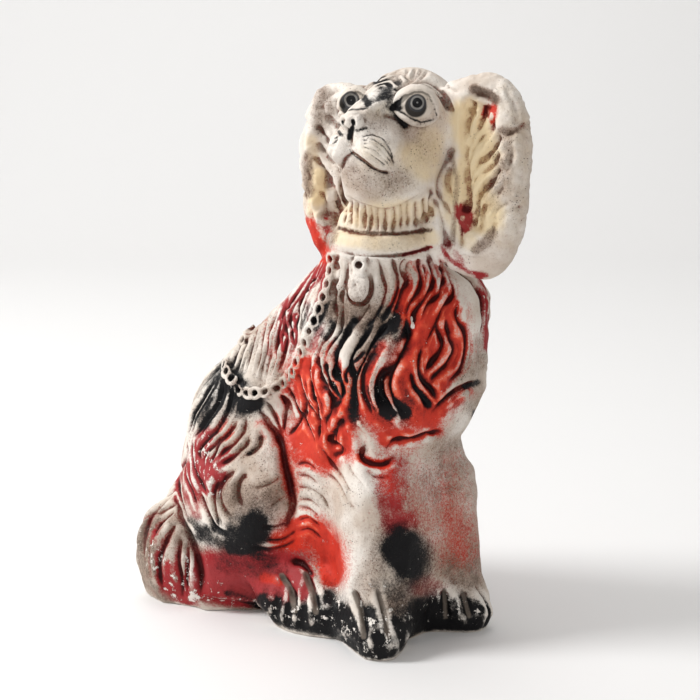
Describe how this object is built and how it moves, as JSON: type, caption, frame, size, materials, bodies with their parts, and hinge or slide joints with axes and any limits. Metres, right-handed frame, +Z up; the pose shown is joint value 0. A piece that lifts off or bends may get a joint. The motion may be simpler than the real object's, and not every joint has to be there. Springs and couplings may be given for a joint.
{
  "type": "dog figurine",
  "caption": "Seated spaniel mantelpiece figurine cast in painted plaster, head turned to the display side, with a collar, padlock and chain moulded on.",
  "frame": {"origin": "on the flat underside, below the middle of the belly", "axes": "+X towards the dog's chest, -Y towards the display side that the face looks to, +Z up"},
  "size_m": [0.2515, 0.1261, 0.3198],
  "materials": {
    "painted_plaster": "painted plaster, dull with a slight sheen on the paint"
  },
  "bodies": {
    "root": {"spaniel": "painted_plaster"}
  },
  "joints": []
}
